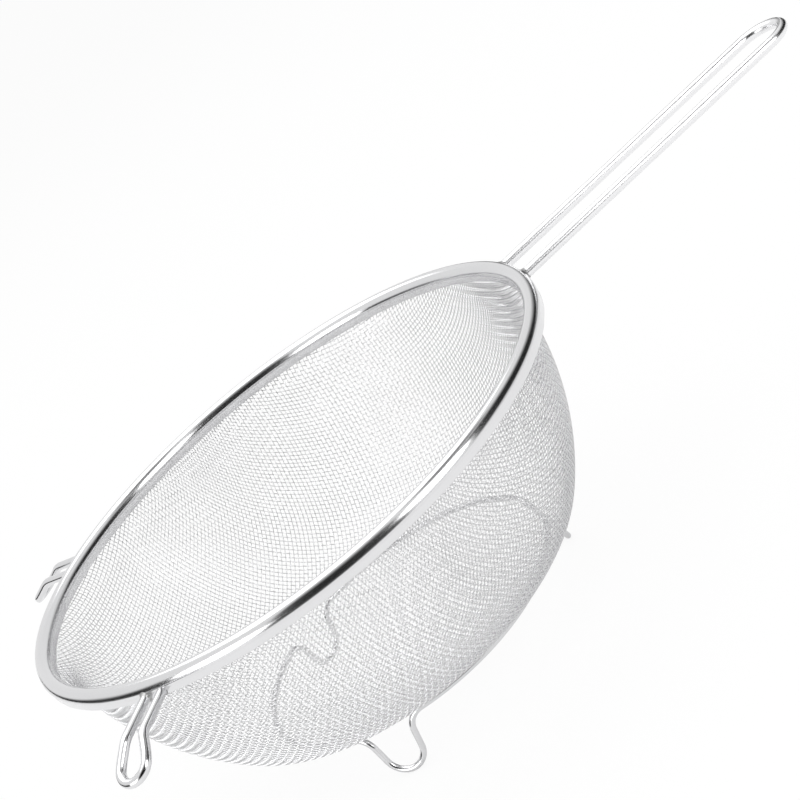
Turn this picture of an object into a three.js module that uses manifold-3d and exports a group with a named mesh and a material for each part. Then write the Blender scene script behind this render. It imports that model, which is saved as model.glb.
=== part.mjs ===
// Kitchen mesh strainer: a pressed wire-cloth bowl in a folded steel rim, with a bent-wire
// handle, two rest lugs that sit on a pot's edge, and a foot ring bent from one wire.
// Millimetres, +Z up. It stands on its feet at z = 0, and the handle points along +X.

import * as THREE from 'three';
import { mergeVertices } from 'three/addons/utils/BufferGeometryUtils.js';
import Module from 'manifold-3d';

const wasm = await Module();
wasm.setup();

// Driving dimensions: the rim, a steel strip folded over the cloth's edge
const rimRadius = 110;           // axis to the outermost point of the rim
const rimHeight = 94.5;          // table to the creases where the rounded top meets its flanges
const rimWidth = 6.2;            // across the rounded top at its creases
const rimCrown = 3.4;            // height of the rounded top above its creases
const rimLean = 9;               // degrees that the sides of the top lean in at the creases
const stripThickness = 0.4;
const innerFlangeDrop = 3.05;    // creases down to the flange's lower edge
const outerFlangeDrop = 2.8;
const flangeLean = 0.3;          // how far the outer flange's lower edge is crimped inwards
const coreDiameter = 1.5;        // wire that the cloth's edge is turned over

// Driving dimensions: the bowl, measured on the cloth's outer face
const clothThickness = 0.7;
const wallInset = 6.8;           // rim's outermost point in to the widest part of the wall
const wallCentreDrop = 0.3;      // rim's creases down to the wall arc's centre
const knuckleRadius = 26;        // arc between the side wall and the bottom
const bottomRadius = 200;        // arc of the bottom
const bowlDepth = 84.2;          // rim's creases to the lowest point of the bowl
const neckDrop = 12.5;           // rim's creases down to where the wall turns out to the rim
const hemDrop = 1.7;             // rim's creases down to the cut edge of the turned-over cloth
const openingWidth = 22;         // plain grid of openings that stands for the fine weave
const barWidth = 5.6;            // cloth left between two openings
const clothTurn = 57;            // degrees from the handle round to the grid's first direction

// Driving dimensions: the handle
const handleDiameter = 4;
const handleSpacing = 22;        // between the centres of its two legs
const handleReach = 242.3;       // bowl axis to the centre of the wire at the end bend
const handleRootDrop = 0.3;      // rim's creases down to the wire's centre at the rim
const handleRise = 2.8;          // degrees that the handle slopes up

// Driving dimensions: the rest lugs
const lugDiameter = 3.2;
const farLugAngle = 137.8;       // degrees round from the handle, at the rim
const nearLugAngle = 226.7;
const farLugSkew = -4.5;         // degrees that a lug points aside from straight outwards
const nearLugSkew = 7.5;
const farLegSpacing = 8.8;       // between the centres of the legs, from the rim to the bend
const nearLegSpacing = 7.2;
const lugLoopSpacing = 10.4;     // the same at the widest part of the loop
const lugRootDrop = 1.4;
const lugBendReach = 18;         // rim to the downward bend
const lugTipReach = 15;          // downward bend to the tip
const lugTipAngle = 26;          // degrees that the tip slopes down
const lugBendRadius = 9;

// Driving dimensions: the foot ring
const footDiameter = 2.3;
const footRingRadius = 62.4;     // bowl axis to the wire's centre
const footAngles = [0, 120, 240]; // degrees round from the handle
const footTipRadius = 7.2;       // bends on the wire's centre line
const footShoulderRadius = 7;
const footLegLean = 11;          // degrees that each leg leans in towards the tip
const footSplay = 9;             // degrees that each foot leans outwards
const footFlat = 0.25;           // depth of the flat under each foot

// Welds, and the gap between touching pieces
const weldWidth = 1.3;           // size of a weld bead beyond the wire
const weldLength = 1.6;          // how far a bead runs out along the wire, and in under the rim
const weldToe = 0.4;             // thickness of a bead where it ends on the wire
const clearance = 0.3;

// Facets
const turnSegments = 60;
const wireSides = 8;
const handleSides = 10;
const coreSides = 6;
const wireSteps = { handle: 50, lug: 32, foot: 120 };
const crownDivisions = 8;
const hemDivisions = 4;
const joinTolerance = 1e-4;      // points closer than this are one point

const radians = THREE.MathUtils.degToRad;
const steel = { color: 0xd4d6d8, metalness: 1 };
const materials = {
  polished: new THREE.MeshStandardMaterial({ ...steel, roughness: 0.12 }),
  wire: new THREE.MeshStandardMaterial({ ...steel, roughness: 0.18 }),
  cloth: new THREE.MeshStandardMaterial({ ...steel, roughness: 0.35 }),
  weld: new THREE.MeshStandardMaterial({ color: 0x8d8f92, metalness: 1, roughness: 0.45 }),
};

// Points along a drawn outline: lines keep their ends, and each arc in turn takes the next
// number of divisions.
function samplePath(path, arcDivisions) {
  const points = [];
  let arc = 0;
  path.curves.forEach((curve) => {
    const divisions = curve.isLineCurve ? 1 : arcDivisions[arc];
    if (!curve.isLineCurve) arc += 1;
    curve.getPoints(divisions).forEach((point) => {
      const isNew = points.length === 0 || points.at(-1).distanceTo(point) > joinTolerance;
      if (isNew) points.push(point);
    });
  });
  return points;
}

// Unit normal to the left of a polyline at one of its points.
function leftNormal(points, index) {
  const before = points[Math.max(index - 1, 0)];
  const after = points[Math.min(index + 1, points.length - 1)];
  const along = after.clone().sub(before).normalize();
  return new THREE.Vector2(-along.y, along.x);
}

// The two faces of a sheet whose middle follows a polyline.
function sheetFaces(points, thickness) {
  const offset = (side) => points.map((point, index) =>
    point.clone().addScaledVector(leftNormal(points, index), side * thickness / 2));
  return { left: offset(1), right: offset(-1) };
}

// Solid of revolution about Z from an outline of (radius, height) points, counter-clockwise.
function revolve(outline) {
  const geometry = new THREE.LatheGeometry(outline, turnSegments);
  return geometry.rotateX(Math.PI / 2);
}

// Round wire along a curve, with flat ends.
function wireGeometry(curve, diameter, sides, steps) {
  const section = new THREE.Shape();
  for (let side = 0; side < sides; side += 1) {
    const angle = (side + 0.5) * 2 * Math.PI / sides;
    const x = diameter / 2 * Math.cos(angle);
    const y = diameter / 2 * Math.sin(angle);
    if (side === 0) section.moveTo(x, y);
    else section.lineTo(x, y);
  }
  return new THREE.ExtrudeGeometry(section, { steps, extrudePath: curve, curveSegments: 1 });
}

// A flat drawing bent into space: fold(point) places each drawn point.
class FoldedCurve extends THREE.Curve {
  constructor(drawing, fold) {
    super();
    this.drawing = drawing;
    this.fold = fold;
  }

  getPoint(t, target = new THREE.Vector3()) {
    return target.copy(this.fold(this.drawing.getPoint(t)));
  }
}

// Exchange with the solid modeller that cuts one closed body by another.
function toSolid(geometry) {
  const bare = geometry.clone();
  bare.deleteAttribute('normal');
  bare.deleteAttribute('uv');
  const merged = mergeVertices(bare, joinTolerance);
  return new wasm.Manifold(new wasm.Mesh({
    numProp: 3,
    vertProperties: new Float32Array(merged.attributes.position.array),
    triVerts: new Uint32Array(merged.index.array),
  }));
}

function toGeometry(solid) {
  const { vertProperties, triVerts } = solid.getMesh();
  const geometry = new THREE.BufferGeometry();
  geometry.setAttribute('position', new THREE.BufferAttribute(vertProperties, 3));
  geometry.setIndex(new THREE.BufferAttribute(triVerts, 1));
  geometry.computeVertexNormals();
  return geometry;
}

const strainer = new THREE.Group();

function addPiece(name, geometry, material) {
  const mesh = new THREE.Mesh(geometry, material);
  mesh.name = name;
  strainer.add(mesh);
  return mesh;
}

// Rim band: a rounded top with a flange down each side, open below.
const rimCentreRadius = rimRadius - rimWidth / 2;

// Middle line of the strip. The top is part of an ellipse: its two radii follow from the width at
// the creases, the crown and the lean of the sides there.
function rimOutline() {
  const half = stripThickness / 2;
  const creaseReach = rimWidth / 2 - half;
  const crown = rimCrown - half;
  const share = crown * Math.tan(radians(rimLean)) / creaseReach;
  const creaseAngle = Math.asin(share / (1 - share));
  const across = creaseReach / Math.cos(creaseAngle);
  const upward = crown / (1 - Math.sin(creaseAngle));
  const centre = rimHeight + crown - upward;
  const path = new THREE.Path();
  path.moveTo(rimCentreRadius - creaseReach, rimHeight - innerFlangeDrop);
  path.lineTo(rimCentreRadius - creaseReach, rimHeight);
  path.absellipse(rimCentreRadius, centre, across, upward, Math.PI - creaseAngle, creaseAngle, true);
  path.lineTo(rimCentreRadius + creaseReach - flangeLean, rimHeight - outerFlangeDrop);
  return samplePath(path, [crownDivisions]);
}

function rimBand() {
  const { left, right } = sheetFaces(rimOutline(), stripThickness);
  const outline = [...right, ...left.reverse()];
  return revolve([...outline, outline[0].clone()]);
}

// Everything inside the rim's outer face, grown by a gap: what welded wires are cut to.
function rimEnvelope(gap) {
  const { left } = sheetFaces(rimOutline(), stripThickness + 2 * gap);
  left[0].y -= gap;
  left.at(-1).y -= gap;
  left.reverse();
  return toSolid(revolve([...left, left[0].clone()]));
}

// Core wire: a plain ring that the cloth's edge is turned over, inside the rim.
const hemRadius = coreDiameter / 2 + clearance + clothThickness / 2;
const coreHeight = rimHeight + rimCrown - stripThickness - clearance - clothThickness / 2 - hemRadius;

function coreRing() {
  const ring = new THREE.TorusGeometry(rimCentreRadius, coreDiameter / 2, coreSides, turnSegments);
  return ring.translate(0, 0, coreHeight);
}

// Bowl: bottom, knuckle and wall arcs meet in line, and the edge is turned over the core wire.
const wallRadius = rimRadius - wallInset;
const bowlArcs = (() => {
  const wallCentre = rimHeight - wallCentreDrop;
  const bottomCentre = rimHeight - bowlDepth + bottomRadius;
  const toWall = wallRadius - knuckleRadius;
  const toBottom = bottomRadius - knuckleRadius;
  const rise = bottomCentre - wallCentre;
  const drop = (toBottom ** 2 - toWall ** 2 - rise ** 2) / (2 * rise);
  const knuckleCentre = new THREE.Vector2(Math.sqrt(toWall ** 2 - drop ** 2), wallCentre - drop);
  return {
    wallCentre,
    bottomCentre,
    knuckleCentre,
    wallEnd: Math.atan2(knuckleCentre.y - wallCentre, knuckleCentre.x),
    bottomEnd: Math.atan2(knuckleCentre.y - bottomCentre, knuckleCentre.x),
  };
})();

function clothPath() {
  const inset = clothThickness / 2;
  const { wallCentre, bottomCentre, knuckleCentre, wallEnd, bottomEnd } = bowlArcs;
  const wall = wallRadius - inset;
  const neckAngle = -Math.asin((neckDrop - wallCentreDrop) / wall);
  const hemInner = rimCentreRadius - hemRadius;
  const hemStart = rimHeight - innerFlangeDrop;
  const path = new THREE.Path();
  path.absarc(0, bottomCentre, bottomRadius - inset, -Math.PI / 2, bottomEnd, false);
  path.absarc(knuckleCentre.x, knuckleCentre.y, knuckleRadius - inset, bottomEnd, wallEnd, false);
  path.absarc(0, wallCentre, wall, wallEnd, neckAngle, false);
  const neck = path.currentPoint.clone();
  path.quadraticCurveTo(neck.x, (neck.y + hemStart) / 2, hemInner, hemStart);
  path.lineTo(hemInner, coreHeight);
  path.absarc(rimCentreRadius, coreHeight, hemRadius, Math.PI, 0, true);
  path.lineTo(rimCentreRadius + hemRadius, rimHeight - hemDrop);
  return path;
}

// Flat drawing of the cloth: a square grid of bars rounded out to a disc, then plain rings for the
// hem. A whole number of openings fits across. Bars keep every point of their crossings and one
// more half-way along each opening.
function clothDrawing(openReach, hemReaches) {
  const span = 2 * openReach - barWidth;
  const openings = Math.round(span / (openingWidth + barWidth));
  const fittedWidth = span / openings - barWidth;
  const lines = [-openReach];
  for (let opening = 0; opening < openings; opening += 1) {
    const start = lines.at(-1) + barWidth;
    lines.push(start, start + fittedWidth / 2, start + fittedWidth);
  }
  lines.push(openReach);
  const rounded = (x, y) => new THREE.Vector2(
    x * Math.sqrt(1 - (y / openReach) ** 2 / 2),
    y * Math.sqrt(1 - (x / openReach) ** 2 / 2),
  ).rotateAround(new THREE.Vector2(), radians(clothTurn));
  const points = lines.flatMap((x) => lines.map((y) => rounded(x, y)));
  const triangles = [];
  const addQuad = (a, b, c, d) => triangles.push([a, b, c], [a, c, d]);

  const count = lines.length;
  const isBar = (interval) => interval % 3 === 0;
  const edge = [];
  points.forEach((_, corner) => {
    const i = Math.floor(corner / count);
    const j = corner % count;
    const isLast = i === count - 1 || j === count - 1;
    if (isLast || i === 0 || j === 0) edge.push(corner);
    if (isLast || !(isBar(i) || isBar(j))) return;
    addQuad(corner, corner + count, corner + count + 1, corner + 1);
  });
  edge.sort((a, b) => points[a].angle() - points[b].angle());

  const rings = hemReaches.map((reach) => {
    const first = points.length;
    return Array.from({ length: turnSegments }, (_, segment) => {
      const angle = segment * 2 * Math.PI / turnSegments;
      points.push(new THREE.Vector2(reach * Math.cos(angle), reach * Math.sin(angle)));
      return first + segment;
    });
  });
  triangles.push(...stitchLoops(points, edge, rings[0]));
  rings.slice(1).forEach((outer, index) => {
    triangles.push(...stitchLoops(points, rings[index], outer));
  });
  return { points, triangles };
}

// Triangles between two closed loops of drawn points, each in order of its angle round the centre.
function stitchLoops(points, inner, outer) {
  const angleAt = (loop, step) =>
    points[loop[step % loop.length]].angle() + 2 * Math.PI * Math.floor(step / loop.length);
  const triangles = [];
  let i = 0;
  let o = 0;
  while (i < inner.length || o < outer.length) {
    const corner = inner[i % inner.length];
    const across = outer[o % outer.length];
    if (o === outer.length || (i < inner.length && angleAt(inner, i + 1) < angleAt(outer, o + 1))) {
      i += 1;
      triangles.push([corner, across, inner[i % inner.length]]);
    } else {
      o += 1;
      triangles.push([corner, across, outer[o % outer.length]]);
    }
  }
  return triangles;
}

// A drawn sheet given thickness: fold(point, side) places each point on the upper face (side 1) or
// the lower one (side -1), and a wall closes every edge that only one triangle has.
function sheetGeometry({ points, triangles }, fold) {
  const positions = points.flatMap((point) => [...fold(point, 1), ...fold(point, -1)]);
  const upper = (corner) => 2 * corner;
  const lower = (corner) => 2 * corner + 1;
  const sides = triangles.flatMap(([a, b, c]) => [[a, b], [b, c], [c, a]]);
  const taken = new Set(sides.map(([a, b]) => `${a} ${b}`));
  const index = triangles.flatMap(([a, b, c]) =>
    [upper(a), upper(b), upper(c), lower(c), lower(b), lower(a)]);
  sides.filter(([a, b]) => !taken.has(`${b} ${a}`)).forEach(([a, b]) => {
    index.push(upper(b), upper(a), lower(a), upper(b), lower(a), lower(b));
  });
  const geometry = new THREE.BufferGeometry();
  geometry.setAttribute('position', new THREE.Float32BufferAttribute(positions, 3));
  geometry.setIndex(index);
  const used = mergeVertices(geometry.toNonIndexed(), joinTolerance);
  used.computeVertexNormals();
  return used;
}

// The drawn disc pressed into the bowl: distance from the disc's centre becomes distance along
// the section, and the openings end where the cloth goes into the rim.
function clothBowl() {
  const section = clothPath();
  const ends = section.getCurveLengths();
  const [openReach, hemStart, hemEnd, cutEdge] = ends.slice(-4);
  const hemReaches = Array.from({ length: hemDivisions + 1 }, (_, step) =>
    THREE.MathUtils.lerp(hemStart, hemEnd, step / hemDivisions));
  const fold = (point, side) => {
    const share = Math.min(point.length() / cutEdge, 1);
    const middle = section.getPoint(share);
    const along = section.getTangent(share);
    const radius = middle.x - side * along.y * clothThickness / 2;
    const height = middle.y + side * along.x * clothThickness / 2;
    const azimuth = point.angle();
    return [radius * Math.cos(azimuth), radius * Math.sin(azimuth), height];
  };
  return sheetGeometry(clothDrawing(openReach, [...hemReaches, cutEdge]), fold);
}

// Height of the bowl's outer face, grown outwards by an offset, at a distance from the axis.
function bowlHeight(radius, offset) {
  const { wallCentre, bottomCentre, knuckleCentre, wallEnd, bottomEnd } = bowlArcs;
  const below = (grown, reach) => Math.sqrt(grown ** 2 - reach ** 2);
  if (radius <= (bottomRadius + offset) * Math.cos(bottomEnd)) {
    return bottomCentre - below(bottomRadius + offset, radius);
  }
  if (radius <= (wallRadius + offset) * Math.cos(wallEnd)) {
    return knuckleCentre.y - below(knuckleRadius + offset, radius - knuckleCentre.x);
  }
  return wallCentre - below(wallRadius + offset, radius);
}

// Handle: one wire, out along one leg, round the end bend and back.
const handleHalf = handleSpacing / 2;
const handleTilt = radians(handleRise);
const rootReach = Math.sqrt(rimRadius ** 2 - handleHalf ** 2);

function placeOnHandle(along, across) {
  const out = along - rootReach;
  return new THREE.Vector3(
    rootReach + out * Math.cos(handleTilt),
    across,
    rimHeight - handleRootDrop + out * Math.sin(handleTilt),
  );
}

function handleWire(diameter) {
  const start = rootReach - rimWidth / 2;
  const bendStart = rootReach + (handleReach - rootReach) / Math.cos(handleTilt) - handleHalf;
  const path = new THREE.Path();
  path.moveTo(start, -handleHalf);
  path.lineTo(bendStart, -handleHalf);
  path.absarc(bendStart, 0, handleHalf, -Math.PI / 2, Math.PI / 2, false);
  path.lineTo(start, handleHalf);
  const curve = new FoldedCurve(path, (point) => placeOnHandle(point.x, point.y));
  return toSolid(wireGeometry(curve, diameter, handleSides, wireSteps.handle));
}

// Rest lug: a hairpin drawn flat, whose legs swell into a loop past the bend, then bent down across
// both legs and skewed about the rim.
const upright = new THREE.Vector3(0, 0, 1);

function lugFold({ turn, skew }) {
  const side = new THREE.Path();
  const tilt = radians(lugTipAngle);
  const setback = lugBendRadius * Math.tan(tilt / 2);
  const bend = rimRadius + lugBendReach;
  const level = rimHeight - lugRootDrop;
  side.moveTo(rimCentreRadius, level);
  side.lineTo(bend - setback, level);
  side.absarc(bend - setback, level - lugBendRadius, lugBendRadius, Math.PI / 2, Math.PI / 2 - tilt, true);
  side.lineTo(bend + lugTipReach * Math.cos(tilt), level - lugTipReach * Math.sin(tilt));
  const length = side.getLength();
  const straight = bend - setback - rimCentreRadius;
  const fold = (point) => {
    const { x: radius, y: height } = side.getPointAt(THREE.MathUtils.clamp(point.x / length, 0, 1));
    const place = new THREE.Vector3(radius - rimRadius, point.y, height);
    place.applyAxisAngle(upright, skew);
    place.x += rimRadius;
    return place.applyAxisAngle(upright, turn);
  };
  return { length, straight, fold };
}

function lugWire(lug, diameter) {
  const { length, straight, fold } = lugFold(lug);
  const loop = lugLoopSpacing / 2;
  const root = lug.legSpacing / 2;
  const swellEnd = length - loop;
  const swellMiddle = (straight + swellEnd) / 2;
  const path = new THREE.Path();
  path.moveTo(0, -root);
  path.lineTo(straight, -root);
  path.bezierCurveTo(swellMiddle, -root, swellMiddle, -loop, swellEnd, -loop);
  path.absarc(swellEnd, 0, loop, -Math.PI / 2, Math.PI / 2, false);
  path.bezierCurveTo(swellMiddle, loop, swellMiddle, root, straight, root);
  path.lineTo(0, root);
  return toSolid(wireGeometry(new FoldedCurve(path, fold), diameter, wireSides, wireSteps.lug));
}

// Foot ring: drawn flat as a line that dips into three feet, then wrapped round the bowl.
// Its two ends butt against each other half-way between two feet.
const footRadius = footDiameter / 2;
const footRingHeight = bowlHeight(footRingRadius, footRadius + clearance);
const footRingLength = 2 * Math.PI * footRingRadius;

function footDrawing() {
  const lean = radians(footLegLean);
  const bends = footTipRadius + footShoulderRadius;
  const drop = footRingHeight - footRadius + footFlat;
  const leg = (drop - bends * (1 - Math.sin(lean))) / Math.cos(lean);
  const half = bends * Math.cos(lean) + leg * Math.sin(lean);
  const start = radians((footAngles[0] + footAngles.at(-1) - 360) / 2) * footRingRadius;
  const path = new THREE.Path();
  path.moveTo(start + clearance / 2, 0);
  footAngles.forEach((azimuth) => {
    const middle = radians(azimuth) * footRingRadius;
    path.lineTo(middle - half, 0);
    path.absarc(middle - half, -footShoulderRadius, footShoulderRadius, Math.PI / 2, lean, true);
    path.absarc(middle, footTipRadius - drop, footTipRadius, Math.PI + lean, -lean, false);
    path.absarc(middle + half, -footShoulderRadius, footShoulderRadius, Math.PI - lean, Math.PI / 2, true);
  });
  path.lineTo(start + footRingLength - clearance / 2, 0);
  return path;
}

function footRing() {
  const splay = Math.tan(radians(footSplay));
  const curve = new FoldedCurve(footDrawing(), (point) => {
    const turn = point.x / footRingRadius;
    const radius = footRingRadius - point.y * splay;
    return new THREE.Vector3(
      radius * Math.cos(turn),
      radius * Math.sin(turn),
      footRingHeight + point.y,
    );
  });
  const wire = toSolid(wireGeometry(curve, footDiameter, wireSides, wireSteps.foot));
  const span = 4 * footRingRadius;
  const aboveTable = new THREE.BoxGeometry(span, span, span).translate(0, 0, span / 2);
  return toGeometry(wire.intersect(toSolid(aboveTable)));
}

// Weld bead: a fillet round a wire where it meets the rim.
function weldBead(wire, place, direction, diameter, rim) {
  const radius = diameter / 2;
  const outline = [
    new THREE.Vector2(0, -weldLength),
    new THREE.Vector2(radius + weldWidth, -weldLength),
    new THREE.Vector2(radius + weldWidth, 0),
    new THREE.Vector2(radius + clearance + weldToe, weldLength),
    new THREE.Vector2(0, weldLength),
  ];
  const fillet = new THREE.LatheGeometry(outline, handleSides);
  const turn = new THREE.Quaternion().setFromUnitVectors(new THREE.Vector3(0, 1, 0), direction);
  fillet.applyQuaternion(turn);
  fillet.translate(place.x, place.y, place.z);
  const bead = toSolid(fillet).subtract(rim).subtract(wire);
  return toGeometry(bead);
}

const rimCut = rimEnvelope(clearance);
const lugs = {
  far: { turn: radians(farLugAngle), skew: radians(farLugSkew), legSpacing: farLegSpacing },
  near: { turn: radians(nearLugAngle), skew: radians(nearLugSkew), legSpacing: nearLegSpacing },
};

addPiece('mesh_bowl', clothBowl(), materials.cloth);
addPiece('rim_band', rimBand(), materials.polished);
addPiece('rim_core_wire', coreRing(), materials.wire);
addPiece('handle', toGeometry(handleWire(handleDiameter).subtract(rimCut)), materials.wire);
Object.entries(lugs).forEach(([side, lug]) => {
  const wire = lugWire(lug, lugDiameter).subtract(rimCut);
  addPiece(`rest_lug_${side}`, toGeometry(wire), materials.wire);
});
addPiece('foot_ring', footRing(), materials.wire);

const handleGap = handleWire(handleDiameter + 2 * clearance);
const alongHandle = new THREE.Vector3(Math.cos(handleTilt), 0, Math.sin(handleTilt));
[['far', 1], ['near', -1]].forEach(([side, sign]) => {
  const place = placeOnHandle(rootReach, sign * handleHalf);
  const bead = weldBead(handleGap, place, alongHandle, handleDiameter, rimCut);
  addPiece(`handle_weld_${side}`, bead, materials.weld);
});
Object.entries(lugs).forEach(([side, lug]) => {
  const { fold } = lugFold(lug);
  const lugGap = lugWire(lug, lugDiameter + 2 * clearance);
  const outwards = new THREE.Vector3(1, 0, 0).applyAxisAngle(upright, lug.turn + lug.skew);
  const atRim = rimWidth / 2 - flangeLean;
  [['left', 1], ['right', -1]].forEach(([leg, sign]) => {
    const place = fold(new THREE.Vector2(atRim, sign * lug.legSpacing / 2));
    const bead = weldBead(lugGap, place, outwards, lugDiameter, rimCut);
    addPiece(`lug_weld_${side}_${leg}`, bead, materials.weld);
  });
});

// The origin lies on the table under the middle of the whole object.
const box = new THREE.Box3().setFromObject(strainer);
strainer.position.set(-(box.min.x + box.max.x) / 2, -(box.min.y + box.max.y) / 2, 0);
strainer.updateMatrixWorld(true);

export default strainer;
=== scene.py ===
# %% [markdown]
# # A mesh strainer, dressed in Blender
#
# The strainer is a bowl of woven wire in a folded steel rim, with a bent-wire handle, two rest lugs
# and a foot ring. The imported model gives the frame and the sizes. This lesson dresses it: the wire
# cloth is woven wire by wire, the bright pieces are made smooth, and each gets its finish.

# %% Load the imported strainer
import math

import bpy
import numpy as np
from mathutils import Matrix, Vector


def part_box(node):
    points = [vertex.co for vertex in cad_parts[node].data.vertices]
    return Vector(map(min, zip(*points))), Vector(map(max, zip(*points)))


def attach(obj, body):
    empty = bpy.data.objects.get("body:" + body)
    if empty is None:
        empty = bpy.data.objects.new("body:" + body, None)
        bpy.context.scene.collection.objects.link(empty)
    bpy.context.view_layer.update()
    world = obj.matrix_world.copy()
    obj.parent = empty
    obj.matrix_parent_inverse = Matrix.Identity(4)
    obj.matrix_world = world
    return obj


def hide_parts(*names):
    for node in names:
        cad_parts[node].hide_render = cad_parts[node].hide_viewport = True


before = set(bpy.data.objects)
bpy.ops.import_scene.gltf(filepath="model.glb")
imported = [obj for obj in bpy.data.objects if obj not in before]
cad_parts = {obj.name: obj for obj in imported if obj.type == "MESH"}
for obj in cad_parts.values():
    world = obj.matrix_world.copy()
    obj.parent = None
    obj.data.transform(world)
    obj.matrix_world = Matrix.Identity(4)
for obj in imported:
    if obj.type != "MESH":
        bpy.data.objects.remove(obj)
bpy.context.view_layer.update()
print("nodes:", sorted(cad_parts))

# %% [markdown]
# ## Sizes
#
# A maker works from the bowl's axis, so the sizes here are millimetres from that axis, with the
# table at height 0. One helper turns such points into Blender's metres. The rim's own box tells
# where the axis is, so nothing has to be fitted by eye.

# %% Sizes, from the rim's box and given numbers
MM = 0.001
rim_low, rim_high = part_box("rim_band")
axis_x = (rim_low.x + rim_high.x) / 2 / MM
rim_radius = (rim_high.x - rim_low.x) / 2 / MM
rim_height = 94.5
rim_width = 6.2
rim_crown = 3.4
rim_lean = math.radians(9)
strip = 0.4
inner_drop, outer_drop, flange_lean = 3.05, 2.8, 0.3
rim_centre = rim_radius - rim_width / 2


def to_frame(points):
    """Points in millimetres from the bowl's axis, as metres in the frame."""
    return (np.asarray(points, float) + (axis_x, 0, 0)) * MM


print(f"axis at x = {axis_x:.2f} mm, rim radius {rim_radius:.2f} mm")

# %% [markdown]
# ## The camera
#
# The view is from a little above the rim, with the camera rolled so that the handle points to the
# upper right. A long lens close to the object gives the same perspective as the real view. The
# picture is cut off-centre, and a small lens shift gives that framing.

# %% Camera
view_turn, view_lift, view_roll = (math.radians(a) for a in (-6.11, 22.59, -38.58))
back = Vector((
    math.sin(view_turn) * math.cos(view_lift),
    -math.cos(view_turn) * math.cos(view_lift),
    math.sin(view_lift),
))
level = Vector((math.cos(view_turn), math.sin(view_turn), 0))
upward = back.cross(level)
right = math.cos(view_roll) * level + math.sin(view_roll) * upward
top = -math.sin(view_roll) * level + math.cos(view_roll) * upward
camera_data = bpy.data.cameras.new("camera")
camera_data.lens = 77.34
camera_data.sensor_width = 36
camera_data.shift_x = -0.0843
camera_data.shift_y = 0.0778
camera = bpy.data.objects.new("camera", camera_data)
camera_place = to_frame((-8.75, -576.09, 290.82))
camera_turn = Matrix((right, top, back)).transposed().to_4x4()
camera.matrix_world = Matrix.Translation(camera_place) @ camera_turn
bpy.context.scene.collection.objects.link(camera)
bpy.context.scene.camera = camera
print("camera at", [round(v, 3) for v in camera.location])

# %% [markdown]
# ## A small kit for nodes
#
# Materials, the world and Geometry Nodes are all node trees. One class adds nodes to a tree, and
# another wraps an output socket so that sums can be written as plain expressions: each operator
# adds a Math node.


# %% Node kit
class Socket:
    """An output socket. Arithmetic on it adds Math nodes to its tree."""

    def __init__(self, nodes, output):
        self.nodes = nodes
        self.output = output

    def __add__(self, other):
        return self.nodes.math("ADD", self, other)

    def __sub__(self, other):
        return self.nodes.math("SUBTRACT", self, other)

    def __rsub__(self, other):
        return self.nodes.math("SUBTRACT", other, self)

    def __mul__(self, other):
        return self.nodes.math("MULTIPLY", self, other)

    __radd__ = __add__
    __rmul__ = __mul__


class Nodes:
    """Adds nodes to one tree: settings first, then the values or links of the sockets."""

    def __init__(self, tree):
        self.tree = tree

    def add(self, kind, inputs=None, output=0, **settings):
        node = self.tree.nodes.new(kind)
        for name, value in settings.items():
            setattr(node, name, value)
        for name, value in (inputs or {}).items():
            if isinstance(value, Socket):
                self.tree.links.new(value.output, node.inputs[name])
            else:
                node.inputs[name].default_value = value
        return Socket(self, node.outputs[output]) if node.outputs else node

    def math(self, operation, *terms):
        return self.add("ShaderNodeMath", dict(enumerate(terms)), operation=operation)

    def mix_colour(self, factor, first, second):
        inputs = {0: factor, 6: (*first, 1), 7: (*second, 1)}
        return self.add("ShaderNodeMix", inputs, output=2, data_type="RGBA")


def new_finish(name):
    material = bpy.data.materials.new(name)
    material.use_nodes = True
    material.node_tree.nodes.clear()
    return material, Nodes(material.node_tree)


print("node kit ready")

# %% [markdown]
# ## Steel finishes
#
# All of it is stainless steel, and what differs is how it was worked. The rim is a polished strip
# with faint lines along its length from rolling. The wires are drawn through a die, so their lines
# run along them. The handle is drawn wire too, with a softer sheen, as if it was tumbled smooth for
# the hand. The rim and the bent wires carry an attribute called grain, which holds the place on the
# metal before it was bent, so the lines follow every bend.


# %% Steel with drawn lines
def steel(name, colour, shade, roughness, spread, line_scale, bump):
    """Steel whose tone and gloss change along fine lines in the grain's third direction."""
    material, nodes = new_finish(name)
    grain = nodes.add("ShaderNodeAttribute", output="Vector", attribute_name="grain")
    stretch = nodes.add("ShaderNodeMapping", {0: grain, 3: line_scale})
    lines = nodes.add(
        "ShaderNodeTexNoise", {"Vector": stretch, "Scale": 1.0, "Detail": 3.0}, output="Fac")
    cloud = nodes.add(
        "ShaderNodeTexNoise", {"Vector": grain, "Scale": 60.0, "Detail": 2.0}, output="Fac")
    tone = lines * 0.6 + cloud * 0.4
    dent = nodes.add("ShaderNodeBump", {"Height": lines, "Strength": bump, "Distance": 0.0001})
    shader = nodes.add("ShaderNodeBsdfPrincipled", {
        "Base Color": nodes.mix_colour(tone, shade, colour),
        "Metallic": 1.0,
        "Roughness": roughness + (lines - 0.5) * spread,
        "Normal": dent,
    })
    nodes.add("ShaderNodeOutputMaterial", {"Surface": shader})
    return material


rim_steel = steel(
    "rim_steel", colour=(0.77, 0.77, 0.78), shade=(0.71, 0.71, 0.72),
    roughness=0.17, spread=0.06, line_scale=(900, 900, 30), bump=0.02)
wire_steel = steel(
    "wire_steel", colour=(0.76, 0.76, 0.77), shade=(0.69, 0.69, 0.70),
    roughness=0.15, spread=0.06, line_scale=(1500, 1500, 25), bump=0.02)
handle_steel = steel(
    "handle_steel", colour=(0.86, 0.86, 0.87), shade=(0.82, 0.82, 0.83),
    roughness=0.22, spread=0.04, line_scale=(400, 400, 25), bump=0.0)
print("finishes:", rim_steel.name, wire_steel.name, handle_steel.name)

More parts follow.
